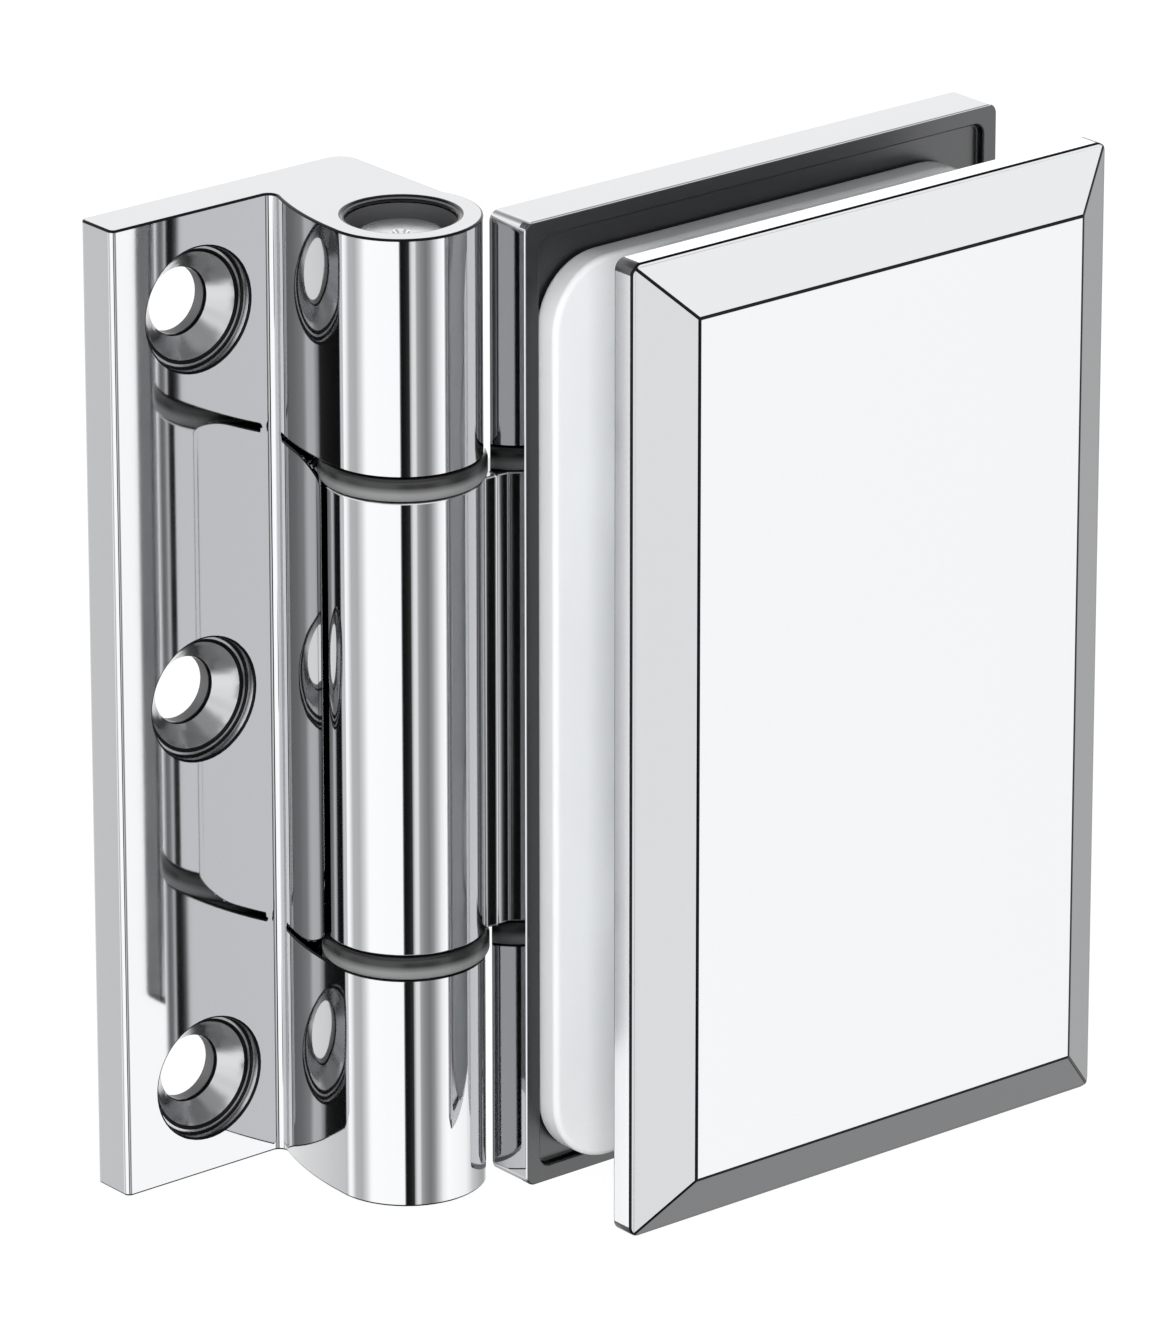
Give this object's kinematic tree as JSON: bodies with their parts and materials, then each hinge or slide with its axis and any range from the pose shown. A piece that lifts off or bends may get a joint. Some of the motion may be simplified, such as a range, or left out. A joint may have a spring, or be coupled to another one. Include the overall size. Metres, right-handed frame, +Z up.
{
  "type": "glass door hinge",
  "caption": "Wall-to-glass door hinge: a screw-on wall leaf and a glass leaf with a bevelled clamping cover, turning on one barrel pin.",
  "frame": {"origin": "on the axis of the hinge pin, level with the bottom ends of both leaves", "axes": "+X from the wall leaf towards the glass leaf, +Y away from the side with the bevelled cover, +Z up along the pin"},
  "size_m": [0.0826, 0.0427, 0.09],
  "materials": {
    "chrome": "mirror polished chrome plating",
    "pin_steel": "ground steel",
    "nylon": "grey nylon, satin",
    "clear_vinyl": "milky soft vinyl"
  },
  "bodies": {
    "wall_side": {"wall_leaf": "chrome", "hinge_pin": "pin_steel", "upper_washer": "nylon", "lower_washer": "nylon"},
    "glass_side": {"glass_leaf": "chrome", "upper_bush": "nylon", "lower_bush": "nylon", "rear_pad": "clear_vinyl", "front_pad": "clear_vinyl", "front_cover": "chrome", "upper_clamp_screw": "pin_steel", "lower_clamp_screw": "pin_steel", "upper_sleeve": "clear_vinyl", "lower_sleeve": "clear_vinyl"}
  },
  "joints": [
    {"name": "door_swing", "type": "hinge", "parent": "wall_side", "child": "glass_side", "pos_m": [0, 0, 0], "axis": [0, 0, -1], "range_deg": [0, 120]}
  ]
}
